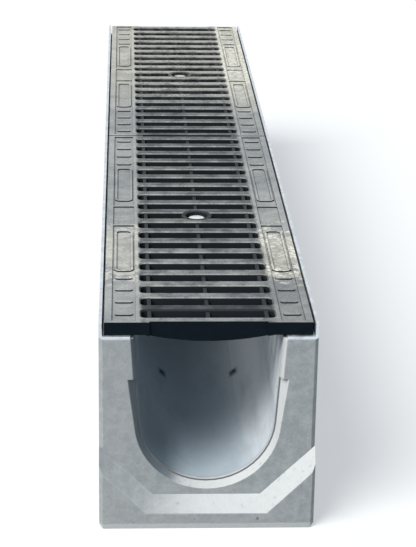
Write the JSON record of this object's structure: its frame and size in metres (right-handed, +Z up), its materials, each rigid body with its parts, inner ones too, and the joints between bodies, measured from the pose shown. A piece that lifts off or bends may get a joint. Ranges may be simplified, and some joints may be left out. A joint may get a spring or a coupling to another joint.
{
  "type": "channel drain",
  "caption": "Concrete drainage channel with a round-bottomed waterway, galvanised steel edge rails and bolted slotted cast-iron gratings.",
  "frame": {"origin": "middle of the flat base, halfway along the laying length, between the two joint faces", "axes": "+Z up, Y along the channel with the tongue end at -Y and the recessed end at +Y, X across it"},
  "size_m": [0.16, 1.01, 0.16],
  "materials": {
    "concrete": "fine light grey cast concrete with small pores",
    "galvanised_steel": "hot-dip galvanised sheet, satin",
    "ductile_iron": "black dipped casting with a dusty grey tread",
    "bright_fixings": "bright stainless steel"
  },
  "bodies": {
    "root": {"channel_body": "concrete", "edge_rail_left": "galvanised_steel", "edge_rail_right": "galvanised_steel", "grating_front": "ductile_iron", "grating_rear": "ductile_iron", "locking_bar_front": "galvanised_steel", "locking_bar_rear": "galvanised_steel", "bolt_front": "bright_fixings", "bolt_rear": "bright_fixings", "washer_front": "bright_fixings", "washer_rear": "bright_fixings", "nut_front": "bright_fixings", "nut_rear": "bright_fixings"}
  },
  "joints": []
}
